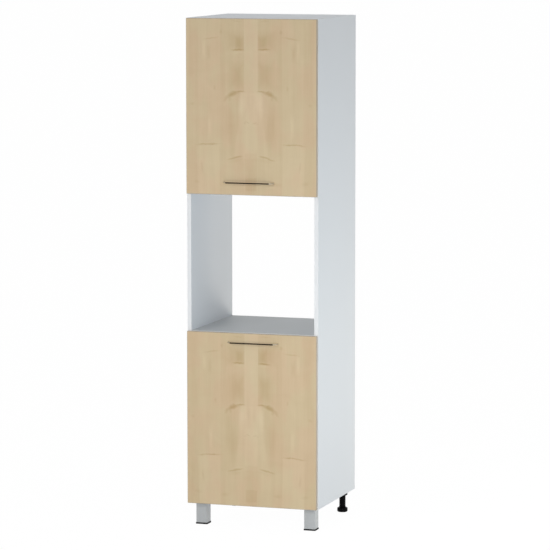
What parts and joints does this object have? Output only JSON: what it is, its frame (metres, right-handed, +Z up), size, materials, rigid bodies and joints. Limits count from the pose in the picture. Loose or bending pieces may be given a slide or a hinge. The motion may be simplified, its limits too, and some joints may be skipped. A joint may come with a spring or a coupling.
{
  "type": "tall oven housing unit",
  "caption": "Tall kitchen cabinet on legs: open niche for a built-in oven between two cupboards with hinged wood-grain doors and bow handles.",
  "frame": {"origin": "on the floor, under the centre of the outside box (the box reaches from the front of the handles to the rear edge of the side panels)", "axes": "+Z up, the doors and the niche face -Y, +X to the right as seen from the front"},
  "size_m": [0.6, 0.5965, 2.232],
  "materials": {
    "white_laminate": "white melamine coated board, satin",
    "white_edging": "white plastic edging, satin",
    "maple_laminate": "pale maple coated board, satin",
    "maple_edging": "plastic edging with a darker maple decor, satin",
    "hardboard": "thin white lacquered fibreboard",
    "beech": "plain beech, fluted",
    "satin_aluminium": "satin anodised",
    "black_plastic": "black, fine texture",
    "white_plastic": "white, satin",
    "dark_nickel": "dark brushed nickel",
    "nickel_steel": "nickel plated",
    "zinc": "zinc die casting",
    "zinc_steel": "bright zinc plated",
    "silicone": "clear silicone, matt"
  },
  "bodies": {
    "carcass": {"left_side_panel": "white_laminate", "right_side_panel": "white_laminate", "top_panel": "white_laminate", "bottom_panel": "white_laminate", "oven_shelf": "white_laminate", "niche_top_panel": "white_laminate", "upper_shelf": "white_laminate", "lower_shelf": "white_laminate", "upper_back_panel": "hardboard", "lower_back_panel": "hardboard", "carcass_edging": "white_edging", "shelf_pins": "nickel_steel", "cam_locks": "zinc", "cam_bolts": "zinc_steel", "wooden_dowels": "beech", "cam_covers": "white_plastic", "upper_hinge_plates": "nickel_steel", "lower_hinge_plates": "nickel_steel", "hinge_plate_screws": "zinc_steel", "upper_hinge_arms": "nickel_steel", "lower_hinge_arms": "nickel_steel", "hinge_arm_screws": "zinc_steel", "front_left_leg": "satin_aluminium", "front_right_leg": "satin_aluminium", "rear_left_leg": "black_plastic", "rear_right_leg": "black_plastic", "front_leg_plates": "zinc_steel", "front_leg_plugs": "black_plastic", "leg_screws": "zinc_steel"},
    "upper_door": {"upper_door_board": "maple_laminate", "upper_door_edging": "maple_edging", "upper_hinge_cups": "nickel_steel", "upper_hinge_pins": "zinc_steel", "upper_cup_screws": "zinc_steel", "upper_handle": "dark_nickel", "upper_handle_screws": "zinc_steel", "upper_door_bumpers": "silicone"},
    "lower_door": {"lower_door_board": "maple_laminate", "lower_door_edging": "maple_edging", "lower_hinge_cups": "nickel_steel", "lower_hinge_pins": "zinc_steel", "lower_cup_screws": "zinc_steel", "lower_handle": "dark_nickel", "lower_handle_screws": "zinc_steel", "lower_door_bumpers": "silicone"},
    "front_left_foot": {"front_left_foot": "black_plastic"},
    "front_right_foot": {"front_right_foot": "black_plastic"},
    "rear_left_foot": {"rear_left_foot": "black_plastic"},
    "rear_right_foot": {"rear_right_foot": "black_plastic"}
  },
  "joints": [
    {"name": "upper_door_hinge", "type": "hinge", "parent": "carcass", "child": "upper_door", "pos_m": [-0.2904, -0.26395, 1.8495], "axis": [0, 0, -1], "range_deg": [0, 100]},
    {"name": "lower_door_hinge", "type": "hinge", "parent": "carcass", "child": "lower_door", "pos_m": [-0.2904, -0.26395, 0.4825], "axis": [0, 0, -1], "range_deg": [0, 100]},
    {"name": "front_left_foot_screw", "type": "slide", "parent": "carcass", "child": "front_left_foot", "axis": [0, 0, -1], "range_m": [0, 0.015]},
    {"name": "front_right_foot_screw", "type": "slide", "parent": "carcass", "child": "front_right_foot", "axis": [0, 0, -1], "range_m": [0, 0.015]},
    {"name": "rear_left_foot_screw", "type": "slide", "parent": "carcass", "child": "rear_left_foot", "axis": [0, 0, -1], "range_m": [0, 0.015]},
    {"name": "rear_right_foot_screw", "type": "slide", "parent": "carcass", "child": "rear_right_foot", "axis": [0, 0, -1], "range_m": [0, 0.015]}
  ]
}
